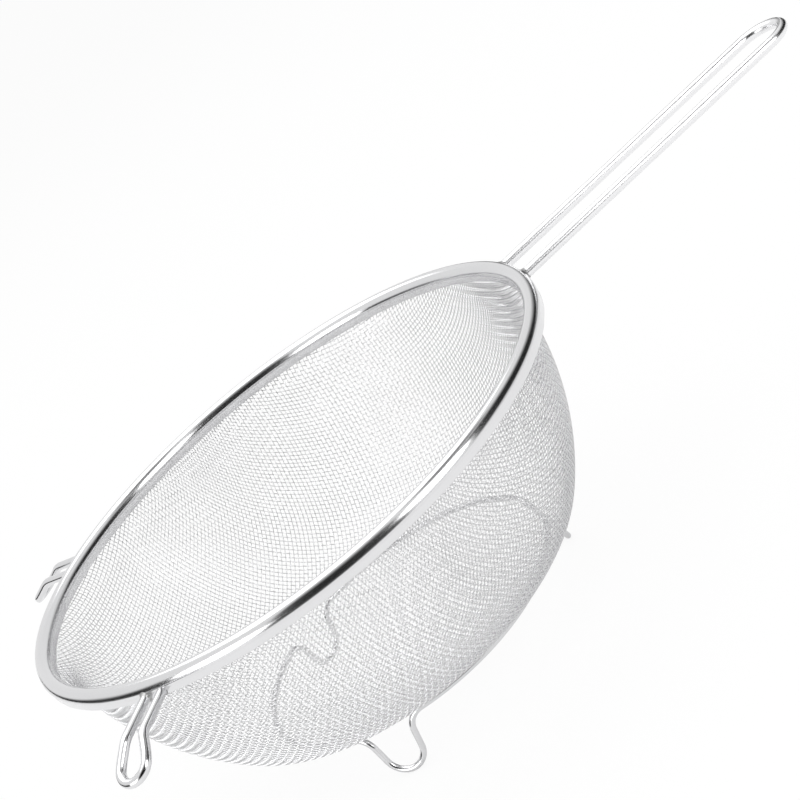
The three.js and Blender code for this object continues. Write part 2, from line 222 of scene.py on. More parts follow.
# %% [markdown]
# The cloth's wires are thin and bright. Each wire is about a third of a millimetre thick, and the
# die left it a little brighter on some lengths than on others. The weaving below lays a UV map on
# every wire: one direction round it and one along it. A noise on that map gives the uneven lengths.

# %% Cloth wire finish
cloth_steel, nodes = new_finish("cloth_steel")
along_wire = nodes.add("ShaderNodeUVMap", uv_map="UVMap")
uneven = nodes.add(
    "ShaderNodeTexNoise", {"Vector": along_wire, "Scale": 9.0, "Detail": 2.0}, output="Fac")
shader = nodes.add("ShaderNodeBsdfPrincipled", {
    "Base Color": nodes.mix_colour(uneven, (0.65, 0.65, 0.66), (0.81, 0.81, 0.82)),
    "Metallic": 1.0,
    "Roughness": 0.06 + uneven * 0.12,
})
nodes.add("ShaderNodeOutputMaterial", {"Surface": shader})
print("finish:", cloth_steel.name)

# %% [markdown]
# A weld is metal that melted and froze. It is duller and darker than the polished wire, and a little
# lumpy, so one noise drives its colour, its gloss and a bump.

# %% Weld finish
weld_metal, nodes = new_finish("weld_metal")
place = nodes.add("ShaderNodeTexCoord", output="Object")
lumps = nodes.add(
    "ShaderNodeTexNoise", {"Vector": place, "Scale": 900.0, "Detail": 3.0}, output="Fac")
dent = nodes.add("ShaderNodeBump", {"Height": lumps, "Strength": 0.4, "Distance": 0.0003})
shader = nodes.add("ShaderNodeBsdfPrincipled", {
    "Base Color": nodes.mix_colour(lumps, (0.22, 0.22, 0.22), (0.60, 0.60, 0.60)),
    "Metallic": 1.0,
    "Roughness": 0.25 + lumps * 0.25,
    "Normal": dent,
})
nodes.add("ShaderNodeOutputMaterial", {"Surface": shader})
print("finish:", weld_metal.name)

# %% [markdown]
# ## The bowl's outline
#
# The cloth is pressed over a former. Its half-section is a flat arc for the bottom, a tighter arc
# at the knuckle and a large arc for the wall, each running smoothly into the next, and then a neck
# that turns out and up into the rim. A table of distance along the section against radius and
# height is all that the weaving needs. The table runs on past the hem, so that the last crossings
# have room.


# %% Bowl outline
def arc_points(centre, radius, start, end, count):
    """Points along an arc, from one angle to another."""
    angle = np.linspace(start, end, count)
    return np.stack([centre[0] + radius * np.cos(angle), centre[1] + radius * np.sin(angle)], 1)


cloth_half = 0.35
wall_drop, neck_drop = 0.3, 12.5
hem_inset, hem_rise, hem_spare = 1.4, 1.0, 30.0
wall_radius, knuckle_radius, bottom_radius, bowl_depth = 103.2, 26.0, 200.0, 84.2
wall_centre = rim_height - wall_drop
bottom_centre = rim_height - bowl_depth + bottom_radius
to_wall, to_bottom = wall_radius - knuckle_radius, bottom_radius - knuckle_radius
rise = bottom_centre - wall_centre
drop = (to_bottom**2 - to_wall**2 - rise**2) / (2 * rise)
knuckle = (math.sqrt(to_wall**2 - drop**2), wall_centre - drop)
wall_end = math.atan2(knuckle[1] - wall_centre, knuckle[0])
bottom_end = math.atan2(knuckle[1] - bottom_centre, knuckle[0])
neck_angle = -math.asin((neck_drop - wall_drop) / (wall_radius - cloth_half))
hem_radius = rim_centre - hem_inset

bottom_arc = arc_points((0, bottom_centre), bottom_radius - cloth_half, -math.pi / 2, bottom_end, 400)
knuckle_arc = arc_points(knuckle, knuckle_radius - cloth_half, bottom_end, wall_end, 200)
wall_arc = arc_points((0, wall_centre), wall_radius - cloth_half, wall_end, neck_angle, 400)
neck_start = wall_arc[-1]
neck_end = np.array([hem_radius, rim_height - inner_drop])
neck_pull = np.array([neck_start[0], (neck_start[1] + neck_end[1]) / 2])
t = np.linspace(0, 1, 100)[:, None]
neck_curve = (1 - t)**2 * neck_start + 2 * t * (1 - t) * neck_pull + t**2 * neck_end
hem_end = rim_height + hem_rise
hem_top = np.array([[hem_radius, hem_end], [hem_radius, hem_end + hem_spare]])
outline = np.vstack([bottom_arc, knuckle_arc[1:], wall_arc[1:], neck_curve[1:], hem_top])
reach = np.concatenate([[0], np.cumsum(np.hypot(*np.diff(outline, axis=0).T))])
hem_reach = reach[-2]
print(f"pole to hem along the cloth: {hem_reach:.1f} mm")


def on_bowl(flat):
    """Points of a flat chart (distance and direction from the pole) placed on the bowl."""
    distance = np.hypot(flat[..., 0], flat[..., 1])
    radius = np.interp(distance, reach, outline[:, 0])
    share = radius / np.maximum(distance, 1e-9)
    height = np.interp(distance, reach, outline[:, 1])
    return np.stack([flat[..., 0] * share, flat[..., 1] * share, height], -1)


# %% [markdown]
# ## Draping the cloth
#
# Woven wire does not stretch. When it is pressed, every small square keeps its four sides and only
# leans over, as a garden trellis does. So the net is built outwards from the two wires that cross
# at the pole: each new crossing lies one pitch from its two neighbours, and that fixes its place
# on the bowl. The squares stay square along those two wires and lean most half-way between them.
# A quarter of the net is enough, because the other quarters mirror it. Each place is found by
# guessing and correcting, in a fixed number of rounds.

# %% Drape a quarter of the net
rounds = 12


def first_wire(pitch, count):
    """Distances from the pole to the crossings along a wire through the pole."""
    distances = [0.0]
    for _ in range(count - 1):
        step = distances[-1] + pitch
        for _ in range(rounds):
            ends = on_bowl(np.array([[distances[-1], 0.0], [step, 0.0]]))
            step += pitch - np.linalg.norm(ends[1] - ends[0])
        distances.append(step)
    return np.array(distances)


def next_crossings(first, second, before, pitch):
    """Chart points one pitch from two neighbours each, by Newton's method."""
    ends = on_bowl(first), on_bowl(second)

    def misfit(flat):
        spot = on_bowl(flat)
        return np.stack([((spot - end)**2).sum(-1) - pitch**2 for end in ends], -1)

    flat = first + second - before
    nudge = 1e-3
    for _ in range(rounds):
        error = misfit(flat)
        slope = np.stack([(misfit(flat + d) - error) / nudge for d in nudge * np.eye(2)], -1)
        step = np.linalg.solve(slope, error[..., None])[..., 0]
        length = np.linalg.norm(step, axis=-1, keepdims=True)
        flat = flat - step * np.minimum(1, pitch / np.maximum(length, 1e-9))
    return flat


def drape_quarter(pitch, count):
    """Chart points of count by count crossings, diagonal by diagonal from the pole."""
    net = np.zeros((count, count, 2))
    net[:, 0, 0] = net[0, :, 1] = first_wire(pitch, count)
    for diagonal in range(2, 2 * count - 1):
        i = np.arange(max(1, diagonal - count + 1), min(diagonal, count))
        j = diagonal - i
        reached = np.linalg.norm(net[i - 1, j - 1], axis=-1) < hem_reach + 3 * pitch
        beyond = net[i - 1, j] + net[i, j - 1] - net[i - 1, j - 1]
        net[i, j] = beyond
        i, j = i[reached], j[reached]
        if len(i):
            net[i, j] = next_crossings(net[i - 1, j], net[i, j - 1], net[i - 1, j - 1], pitch)
    return net


pitch = 1.74
quarter = drape_quarter(pitch, count=100)
inside = np.linalg.norm(quarter, axis=-1) < hem_reach
print(f"crossings in the bowl: about {4 * inside.sum()}")

# %% [markdown]
# ## Weaving
#
# Each wire passes over one neighbour and under the next. A wire is therefore a line of crossings,
# each pushed out or in by half the wave's height in turn, and its partner at the same crossing is
# pushed the other way. Two points to a crossing, each a fifth of the way to the next one, make the
# flattened crowns of real wire cloth. Geometry Nodes does the pushing and sweeps a round section
# along every wire.

# %% Wires as lines of points
crown_reach = 0.2
cloth_turn = math.radians(57)
spin = np.array([[math.cos(cloth_turn), -math.sin(cloth_turn)],
                 [math.sin(cloth_turn), math.cos(cloth_turn)]])
last = quarter.shape[0] - 1


def crossing(i, j):
    """Chart point of any crossing, by mirroring the quarter."""
    spot = quarter[np.abs(i), np.abs(j)]
    return np.stack([spot[..., 0] * np.sign(i), spot[..., 1] * np.sign(j)], -1)


def outward(flat):
    """The cloth's outward direction at chart points."""
    nudge = 0.01
    across = on_bowl(flat + (nudge, 0)) - on_bowl(flat - (nudge, 0))
    along = on_bowl(flat + (0, nudge)) - on_bowl(flat - (0, nudge))
    normal = np.cross(along, across)
    return normal / np.linalg.norm(normal, axis=-1, keepdims=True)


def wire_line(index, family):
    """Points of one wire and the way that each is pushed: +1 or -1 times the outward direction."""
    other = np.arange(-last, last + 1)
    same = np.full_like(other, index)
    i, j = (same, other) if family == "warp" else (other, same)
    flat = crossing(i, j) @ spin.T
    inside = np.linalg.norm(flat, axis=-1) < hem_reach
    if inside.sum() < 3:
        return None
    low, high = np.flatnonzero(inside)[[0, -1]]
    keep = slice(max(low - 1, 0), high + 2)
    flat, i, j = flat[keep], i[keep], j[keep]
    side = np.where((i + j) % 2 == 0, 1.0, -1.0) * (1 if family == "warp" else -1)
    before = flat[1:-1] + crown_reach * (flat[:-2] - flat[1:-1])
    after = flat[1:-1] + crown_reach * (flat[2:] - flat[1:-1])
    doubled = np.stack([before, after], 1).reshape(-1, 2)
    return on_bowl(doubled), outward(doubled) * np.repeat(side[1:-1], 2)[:, None]


families = {}
for family in ("warp", "weft"):
    lines = [wire_line(index, family) for index in range(-last, last + 1)]
    families[family] = [line for line in lines if line is not None]
    print(family, "wires:", len(families[family]))

# %% [markdown]
# The tree below has named inputs for the wire's diameter, the height of its wave and the number of
# sides of its section. It ends by realizing instances and setting the material, so what comes out
# is plain mesh.


# %% Geometry Nodes tree for woven wire
def new_tree(name, inputs):
    """A Geometry Nodes tree with a geometry input and output and further named inputs."""
    tree = bpy.data.node_groups.new(name, "GeometryNodeTree")
    tree.interface.new_socket("Geometry", in_out="OUTPUT", socket_type="NodeSocketGeometry")
    tree.interface.new_socket("Geometry", in_out="INPUT", socket_type="NodeSocketGeometry")
    for label, kind in inputs.items():
        tree.interface.new_socket(label, in_out="INPUT", socket_type=kind)
    nodes = Nodes(tree)
    group = tree.nodes.new("NodeGroupInput")
    given = {socket.name: Socket(nodes, socket) for socket in group.outputs if socket.name}
    return tree, nodes, given


def end_tree(nodes, geometry, material):
    """The last nodes of every tree."""
    smooth = nodes.add("GeometryNodeSetShadeSmooth", {"Geometry": geometry})
    real = nodes.add("GeometryNodeRealizeInstances", {"Geometry": smooth})
    done = nodes.add("GeometryNodeSetMaterial", {"Geometry": real, "Material": material})
    nodes.add("NodeGroupOutput", {"Geometry": done})


patches_per_metre = 20.0
woven_tree, nodes, given = new_tree("woven_wire", {
    "Wire diameter": "NodeSocketFloat",
    "Wave height": "NodeSocketFloat",
    "Sides": "NodeSocketInt",
    "Finish": "NodeSocketMaterial",
})
push = nodes.add("GeometryNodeInputNamedAttribute", {"Name": "push"}, data_type="FLOAT_VECTOR")
half_wave = given["Wave height"] * 0.5
offset = nodes.add("ShaderNodeVectorMath", {0: push, "Scale": half_wave}, operation="SCALE")
waved = nodes.add("GeometryNodeSetPosition", {"Geometry": given["Geometry"], "Offset": offset})
path = nodes.add("GeometryNodeMeshToCurve", {"Mesh": waved})
travel = nodes.add("GeometryNodeSplineParameter", output="Length")
path = nodes.add("GeometryNodeStoreNamedAttribute", {
    "Geometry": path, "Name": "travel", "Value": travel}, data_type="FLOAT", domain="POINT")
section = nodes.add("GeometryNodeCurvePrimitiveCircle", {
    "Resolution": given["Sides"], "Radius": given["Wire diameter"] * 0.5})
turn = nodes.add("GeometryNodeSplineParameter", output="Factor")
section = nodes.add("GeometryNodeStoreNamedAttribute", {
    "Geometry": section, "Name": "turn", "Value": turn}, data_type="FLOAT", domain="POINT")
swept = nodes.add("GeometryNodeCurveToMesh", {
    "Curve": path, "Profile Curve": section, "Fill Caps": True})
turn = nodes.add("GeometryNodeInputNamedAttribute", {"Name": "turn"}, data_type="FLOAT")
travel = nodes.add("GeometryNodeInputNamedAttribute", {"Name": "travel"}, data_type="FLOAT")
place = nodes.add("ShaderNodeCombineXYZ", {
    "X": nodes.math("PINGPONG", turn * 2.0, 1.0),
    "Y": nodes.math("PINGPONG", travel * patches_per_metre, 1.0)})
swept = nodes.add("GeometryNodeStoreNamedAttribute", {
    "Geometry": swept, "Name": "UVMap", "Value": place}, data_type="FLOAT2", domain="CORNER")
end_tree(nodes, swept, given["Finish"])
print("tree:", woven_tree.name)


# %% [markdown]
# A mesh of bare edges carries each family of wires into the tree. Six pieces, three for each family,
# keep every mesh small enough to handle. The result is kept as a plain mesh, and it stands for the
# packed bowl.


# %% Sweep the cloth's wires
def line_object(name, lines, pushes=None):
    """A mesh of bare edges, one chain for each line, and the way that its points are pushed."""
    points = np.vstack(lines)
    starts = np.cumsum([0] + [len(line) for line in lines[:-1]])
    edges = np.vstack([np.stack([np.arange(len(line) - 1), np.arange(1, len(line))], 1) + start
                       for line, start in zip(lines, starts)])
    mesh = bpy.data.meshes.new(name)
    mesh.from_pydata(to_frame(points), edges, [])
    if pushes is not None:
        layer = mesh.attributes.new("push", "FLOAT_VECTOR", "POINT")
        layer.data.foreach_set("vector", np.vstack(pushes).astype(np.float32).ravel())
    piece = bpy.data.objects.new(name, mesh)
    bpy.context.scene.collection.objects.link(piece)
    return piece


def run_tree(piece, tree, values):
    """Runs a tree on a piece and keeps the result as its plain mesh."""
    modifier = piece.modifiers.new(tree.name, "NODES")
    modifier.node_group = tree
    for item in tree.interface.items_tree:
        if item.in_out == "INPUT" and item.name in values:
            modifier[item.identifier] = values[item.name]
    graph = bpy.context.evaluated_depsgraph_get()
    mesh = bpy.data.meshes.new_from_object(piece.evaluated_get(graph))
    piece.modifiers.clear()
    bare_edges = piece.data
    piece.data = mesh
    mesh.name = piece.name
    bpy.data.meshes.remove(bare_edges)
    return piece


def dress(piece, slot, *nodes):
    """Hands a finished piece to the frame: it rides the one body and stands for its nodes."""
    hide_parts(*nodes)
    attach(piece, "root")
    triangles = sum(len(face.vertices) - 2 for face in piece.data.polygons)
    print(f"{piece.name}: {triangles} triangles")


cloth_wire = 0.31
cloth_values = {
    "Wire diameter": cloth_wire * MM,
    "Wave height": cloth_wire * MM,
    "Sides": 5,
    "Finish": cloth_steel,
}
parts = 3
for family, lines in families.items():
    lengths = np.cumsum([len(line[0]) for line in lines])
    bands = np.minimum((lengths - 1) * parts // lengths[-1], parts - 1)
    for band in range(parts):
        chosen = [line for line, own in zip(lines, bands) if own == band]
        points, pushes = zip(*chosen)
        piece = line_object(f"cloth_{family}_{band + 1}", points, pushes)
        dress(run_tree(piece, woven_tree, cloth_values), "cloth", "mesh_bowl")

# %% [markdown]
# ## The rim
#
# The rim is one strip, rolled into a rounded top with a crease on each side and a flange below.
# It is a shape of revolution, so its section is drawn once and turned round the axis. The section
# is the strip's middle line given its thickness, with small rounds at the creases and edges.


# %% Rim section
def rounded(points, radius, count=6):
    """A line of points whose inner corners are rounded off."""
    points = np.asarray(points, float)
    result = [points[0]]
    for before, corner, after in zip(points[:-2], points[1:-1], points[2:]):
        to_before = (before - corner) / np.linalg.norm(before - corner)
        to_after = (after - corner) / np.linalg.norm(after - corner)
        start, end = corner + radius * to_before, corner + radius * to_after
        for s in np.linspace(0, 1, count):
            result.append((1 - s)**2 * start + 2 * s * (1 - s) * corner + s**2 * end)
    return np.array(result + [points[-1]])


half_width = rim_width / 2 - strip / 2
crown = rim_crown - strip / 2
share = crown * math.tan(rim_lean) / half_width
crease_angle = math.asin(share / (1 - share))
dome_across = half_width / math.cos(crease_angle)
dome_rise = crown / (1 - math.sin(crease_angle))
sweep = np.linspace(math.pi - crease_angle, crease_angle, 41)
dome = np.stack([rim_centre + dome_across * np.cos(sweep),
                 rim_height + crown - dome_rise * (1 - np.sin(sweep))], 1)
crease_step, crease_fall = 0.3, 0.5
inner_top = dome[0] + (crease_step, -crease_fall)
outer_top = dome[-1] - (crease_step, crease_fall)
inner_edge = np.array([inner_top[0], rim_height - inner_drop])
outer_edge = np.array([outer_top[0] - flange_lean + crease_step, rim_height - outer_drop])
crease_round = 0.25
# Points at each end of the dome that the crease's round takes the place of
given_up = 3
inner_side = rounded([inner_edge, inner_top, dome[0], dome[given_up]], crease_round)
outer_side = rounded([dome[-1 - given_up], dome[-1], outer_top, outer_edge], crease_round)
middle = np.vstack([inner_side[:-1], dome[given_up:-given_up], outer_side[1:]])
along = np.gradient(middle, axis=0)
normal = np.stack([-along[:, 1], along[:, 0]], 1) / np.linalg.norm(along, axis=1)[:, None]


def edge_round(centre, start, count=5):
    """Half a circle round the strip's cut edge."""
    angle = start - np.linspace(0, math.pi, count + 2)[1:-1]
    return centre + strip / 2 * np.stack([np.cos(angle), np.sin(angle)], 1)


outer_face = middle + normal * strip / 2
inner_face = middle - normal * strip / 2
first_angle = math.atan2(*(-normal[0])[::-1])
last_angle = math.atan2(*normal[-1][::-1])
section_points = np.vstack([
    outer_face, edge_round(middle[-1], last_angle),
    inner_face[::-1], edge_round(middle[0], first_angle)])
print(f"rim section: {len(section_points)} points, widest radius {section_points[:, 0].max():.2f} mm")


# %% [markdown]
# A real rim is crimped by a roller and is never quite even. Its flanges waver by up to two tenths of
# a millimetre here, which bends the reflections a little. The waver is a sum of a few waves, so it
# comes out the same every time. The polish lines have no seam where the ring closes, because the
# grain's place along the rim is a sine of the angle.


# %% Turn the rim
def turned(name, section, count, waver, material):
    """A closed ring: a section of (radius, height) points turned round the bowl's axis."""
    angle = np.linspace(0, 2 * math.pi, count, endpoint=False)
    radius, height = (np.broadcast_to(section[:, k], (count, len(section))) for k in (0, 1))
    radius, height = waver(angle[:, None], radius, height)
    points = np.stack([radius * np.cos(angle)[:, None], radius * np.sin(angle)[:, None], height], -1)
    n = len(section)
    row, column = (index.ravel() for index in np.indices((count, n)))
    after, beside = (row + 1) % count, (column + 1) % n
    faces = np.stack([row * n + column, row * n + beside, after * n + beside, after * n + column], 1)
    mesh = bpy.data.meshes.new(name)
    mesh.from_pydata(to_frame(points.reshape(-1, 3)), [], faces[:, ::-1])
    mesh.polygons.foreach_set("use_smooth", np.ones(len(faces), bool))
    length = np.concatenate([[0], np.cumsum(np.hypot(*np.diff(section, axis=0).T))])
    grain = np.stack(np.broadcast_arrays(
        length[None], 0.0 * length[None], rim_radius * np.sin(angle)[:, None]), -1)
    layer = mesh.attributes.new("grain", "FLOAT_VECTOR", "POINT")
    layer.data.foreach_set("vector", (grain * MM).astype(np.float32).ravel())
    mesh.materials.append(material)
    piece = bpy.data.objects.new(name, mesh)
    bpy.context.scene.collection.objects.link(piece)
    return piece


def waves(angle, *parts):
    """A sum of waves round the rim: for each its size in millimetres, its count and its start."""
    return sum(size * np.sin(count * angle + start) for size, count, start in parts)


def crimp(angle, radius, height):
    """The roller's slight unevenness, most at the flanges' lower edges."""
    low = np.clip((rim_height - height) / inner_drop, 0, 1)
    slow = waves(angle, (0.05, 3, 0.7), (0.04, 7, 2.1))
    quick = waves(angle, (0.05, 31, 0.0), (0.04, 47, 1.3))
    sway = waves(angle, (0.06, 2, 0.4))
    return radius + low * (slow + quick), height + sway + low * slow


rim = turned("rim", section_points, count=360, waver=crimp, material=rim_steel)
dress(rim, "rim", "rim_band")

# %% [markdown]
# ## Bent wires
#
# The handle, the lugs and the foot ring are round wire. Each is drawn flat on the bench, as lines
# and arcs, and then bent into place, just as it was made. Points about a millimetre apart, or closer
# in the bends, keep it smooth. One tree sweeps the round section and keeps the place on the straight
# wire as grain.

# %% Geometry Nodes tree for bent wire
bent_tree, nodes, given = new_tree("bent_wire", {
    "Wire diameter": "NodeSocketFloat",
    "Sides": "NodeSocketInt",
    "Finish": "NodeSocketMaterial",
})
path = nodes.add("GeometryNodeMeshToCurve", {"Mesh": given["Geometry"]})
travel = nodes.add("GeometryNodeSplineParameter", output="Length")
path = nodes.add("GeometryNodeStoreNamedAttribute", {
    "Geometry": path, "Name": "travel", "Value": travel}, data_type="FLOAT", domain="POINT")
section = nodes.add("GeometryNodeCurvePrimitiveCircle", {
    "Resolution": given["Sides"], "Radius": given["Wire diameter"] * 0.5})
spot = nodes.add("GeometryNodeInputPosition")
section = nodes.add("GeometryNodeStoreNamedAttribute", {
    "Geometry": section, "Name": "around", "Value": spot}, data_type="FLOAT_VECTOR", domain="POINT")
swept = nodes.add("GeometryNodeCurveToMesh", {
    "Curve": path, "Profile Curve": section, "Fill Caps": True})
around = nodes.add("GeometryNodeInputNamedAttribute", {"Name": "around"}, data_type="FLOAT_VECTOR")
travel = nodes.add("GeometryNodeInputNamedAttribute", {"Name": "travel"}, data_type="FLOAT")
lift = nodes.add("ShaderNodeCombineXYZ", {"Z": travel})
grain = nodes.add("ShaderNodeVectorMath", {0: around, 1: lift}, operation="ADD")
swept = nodes.add("GeometryNodeStoreNamedAttribute", {
    "Geometry": swept, "Name": "grain", "Value": grain}, data_type="FLOAT_VECTOR", domain="POINT")
end_tree(nodes, swept, given["Finish"])
print("tree:", bent_tree.name)


# %% [markdown]
# The bench drawing is a list of lines and arcs. A line is given by its two ends, an arc by its centre,
# radius and angles, and both become points close enough together for smooth bends.


# %% Bench drawings
def drawing(*pieces, step=1.0):
    """Flat points along lines, given by their ends, and arcs, given by centre, radius and angles."""
    points = []
    for piece in pieces:
        if len(piece) == 2:
            start, end = (np.array(p, float) for p in piece)
            count = max(2, int(np.linalg.norm(end - start) / step) + 1)
            part = start + np.linspace(0, 1, count)[:, None] * (end - start)
        else:
            centre, radius, start, end = piece
            count = max(6, int(abs(end - start) * radius / (0.5 * step)) + 1)
            part = arc_points(centre, radius, start, end, count)
        points.extend(p for p in part if not points or np.linalg.norm(p - points[-1]) > 1e-6)
    return np.array(points)


def bent_wire(name, points, diameter, finish, node):
    """A finished wire along points in millimetres from the axis."""
    piece = line_object(name, [points])
    values = {"Wire diameter": diameter * MM, "Sides": 24, "Finish": finish}
    dress(run_tree(piece, bent_tree, values), "wire", node)


print("bench ready")

# %% [markdown]
# The handle runs out along one leg, round the end bend and back, and slopes up a little from the
# rim, so that the hand stays clear of a hot pot.

# %% Handle
quarter_turn = math.pi / 2
handle_diameter, handle_half, handle_reach = 4.0, 11.0, 242.3
handle_tilt = math.radians(2.8)
handle_root_drop, handle_bite = 0.3, 0.9
root_reach = math.sqrt(rim_radius**2 - handle_half**2)
bend_start = root_reach + (handle_reach - root_reach) / math.cos(handle_tilt) - handle_half
root = root_reach - handle_bite
flat = drawing(
    ((root, -handle_half), (bend_start, -handle_half)),
    ((bend_start, 0), handle_half, -quarter_turn, quarter_turn),
    ((bend_start, handle_half), (root, handle_half)))


def on_handle(flat):
    """Flat handle points tilted up about the rim."""
    out = flat[:, 0] - root_reach
    height = rim_height - handle_root_drop + out * math.sin(handle_tilt)
    return np.stack([root_reach + out * math.cos(handle_tilt), flat[:, 1], height], 1)


bent_wire("handle_wire", on_handle(flat), handle_diameter, handle_steel, "handle")

# %% [markdown]
# Each lug is a hairpin whose legs run side by side to the bend and then swell into a loop. It is
# bent down across both legs, so that it hooks over the edge of a pot, and it points a few degrees
# aside, as it was welded.

# %% Rest lugs
lug_diameter = 3.2
lugs = {
    "far": {"turn": math.radians(137.8), "skew": math.radians(-4.5), "leg_half": 8.8 / 2},
    "near": {"turn": math.radians(226.7), "skew": math.radians(7.5), "leg_half": 7.2 / 2},
}
lug_loop_half = 10.4 / 2
lug_level = rim_height - 1.4
lug_bend, lug_tip, lug_bend_radius = rim_radius + 18.0, 15.0, 9.0
lug_slope = math.radians(26)
setback = lug_bend_radius * math.tan(lug_slope / 2)
lug_bite, lug_weld_reach = 1.1, 0.9
lug_start = rim_radius - lug_bite
elbow = (lug_bend - setback, lug_level - lug_bend_radius)
side_view = drawing(
    ((lug_start, lug_level), (lug_bend - setback, lug_level)),
    (elbow, lug_bend_radius, quarter_turn, quarter_turn - lug_slope),
    ((lug_bend + setback * math.cos(lug_slope), lug_level - setback * math.sin(lug_slope)),
     (lug_bend + lug_tip * math.cos(lug_slope), lug_level - lug_tip * math.sin(lug_slope))),
    step=0.5)
side_length = np.concatenate([[0], np.cumsum(np.hypot(*np.diff(side_view, axis=0).T))])
lug_length = side_length[-1]
swell_start, swell_end = lug_bend - setback - lug_start, lug_length - lug_loop_half


def hairpin(leg_half):
    """A flat hairpin: straight legs, a smooth swell past the bend, and a round loop."""
    share = np.linspace(0, 1, 24)
    ease = share**2 * (3 - 2 * share)
    swell = np.stack([swell_start + (swell_end - swell_start) * share,
                      leg_half + (lug_loop_half - leg_half) * ease], 1)
    loop = drawing(((swell_end, 0), lug_loop_half, -quarter_turn, quarter_turn), step=0.6)
    leg = np.vstack([drawing(((0, leg_half), (swell_start, leg_half)), step=0.6), swell[1:-1]])
    return np.vstack([leg * (1, -1), loop, leg[::-1]])


def on_lug(flat, turn, skew):
    """Flat hairpin points bent down, skewed about the rim and turned to their place on it."""
    out = np.interp(flat[:, 0], side_length, side_view[:, 0]) - rim_radius
    height = np.interp(flat[:, 0], side_length, side_view[:, 1])
    way = turn + skew
    x = rim_radius * math.cos(turn) + out * math.cos(way) - flat[:, 1] * math.sin(way)
    y = rim_radius * math.sin(turn) + out * math.sin(way) + flat[:, 1] * math.cos(way)
    return np.stack([x, y, height], 1)


for side, lug in lugs.items():
    points = on_lug(hairpin(lug["leg_half"]), lug["turn"], lug["skew"])
    bent_wire(f"lug_wire_{side}", points, lug_diameter, wire_steel, f"rest_lug_{side}")

# %% [markdown]
# The foot ring is one wire that goes round the bowl's bottom and dips into three feet. It is drawn
# as a straight line with three dips, rolled into a ring, and its feet lean outwards. The two ends
# butt half-way between two feet.

# %% Foot ring
foot_diameter, foot_ring_radius = 2.3, 62.4
foot_turns = [math.radians(a) for a in (0, 120, 240)]
tip_radius, shoulder_radius = 7.2, 7.0
leg_lean, foot_splay = math.radians(11), math.tan(math.radians(9))
cloth_room, butt_half = 0.3, 0.15
foot_gap = foot_diameter / 2 + cloth_room
foot_level = bottom_centre - math.sqrt((bottom_radius + foot_gap)**2 - foot_ring_radius**2)
foot_drop = foot_level - foot_diameter / 2
bends = tip_radius + shoulder_radius
leg = (foot_drop - bends * (1 - math.sin(leg_lean))) / math.cos(leg_lean)
foot_half = bends * math.cos(leg_lean) + leg * math.sin(leg_lean)
ring_end = math.pi * foot_ring_radius / 3
pieces, here = [], -ring_end + butt_half
for turn in foot_turns:
    centre = turn * foot_ring_radius
    before, after = centre - foot_half, centre + foot_half
    pieces += [
        ((here, 0), (before, 0)),
        ((before, -shoulder_radius), shoulder_radius, quarter_turn, leg_lean),
        ((centre, tip_radius - foot_drop), tip_radius, math.pi + leg_lean, 2 * math.pi - leg_lean),
        ((after, -shoulder_radius), shoulder_radius, math.pi - leg_lean, quarter_turn)]
    here = after
pieces.append(((here, 0), (5 * ring_end - butt_half, 0)))
flat = drawing(*pieces)
angle = flat[:, 0] / foot_ring_radius
radius = foot_ring_radius - flat[:, 1] * foot_splay
ring_points = np.stack([radius * np.cos(angle), radius * np.sin(angle), foot_level + flat[:, 1]], 1)
bent_wire("foot_wire", ring_points, foot_diameter, wire_steel, "foot_ring")

# %% [markdown]
# ## Welds
#
# Each wire end is welded to the rim's outer flange. The bead is a collar that flows from the
# flange on to the wire, and it is lumpy because it froze quickly. The collar is drawn as rings
# round the wire, and each ring's radius wavers by a fixed sum of waves.


# %% Weld beads
def weld_bead(name, start, direction, wire_diameter, phase, node):
    """A lumpy collar round a wire's end, from the rim outwards."""
    start, direction = Vector(start), Vector(direction).normalized()
    side = direction.cross(Vector((0, 0, 1))).normalized()
    lift = side.cross(direction)
    rings, sides = 14, 28
    length, buried, collar, fade, tuck = 2.0, 0.9, 0.75, 1.4, 0.08
    along = np.linspace(0, 1, rings)[:, None]
    around = np.linspace(0, 2 * math.pi, sides, endpoint=False)[None]
    lump = (0.14 * np.sin(3 * around + 5 * along + phase)
            + 0.10 * np.sin(5 * around - 7 * along + 2 * phase))
    radius = wire_diameter / 2 + (collar + lump) * (1 - along)**fade - tuck * along
    distance = -buried + along * length * (1 + 0.18 * np.sin(2 * around + phase))
    x, y = radius * np.cos(around), radius * np.sin(around)
    points = (np.array(start) + distance[..., None] * np.array(direction)
              + x[..., None] * np.array(side) + y[..., None] * np.array(lift))
    mesh = bpy.data.meshes.new(name)
    row, column = (index.ravel() for index in np.indices((rings - 1, sides)))
    beside = (column + 1) % sides
    faces = np.stack([row * sides + column, row * sides + beside,
                      (row + 1) * sides + beside, (row + 1) * sides + column], 1).tolist()
    ends = [list(range(sides))[::-1], list(range((rings - 1) * sides, rings * sides))]
    mesh.from_pydata(to_frame(points.reshape(-1, 3)), [], faces + ends)
    mesh.polygons.foreach_set("use_smooth", np.ones(len(mesh.polygons), bool))
    mesh.materials.append(weld_metal)
    piece = bpy.data.objects.new(name, mesh)
    bpy.context.scene.collection.objects.link(piece)
    dress(piece, "weld", node)


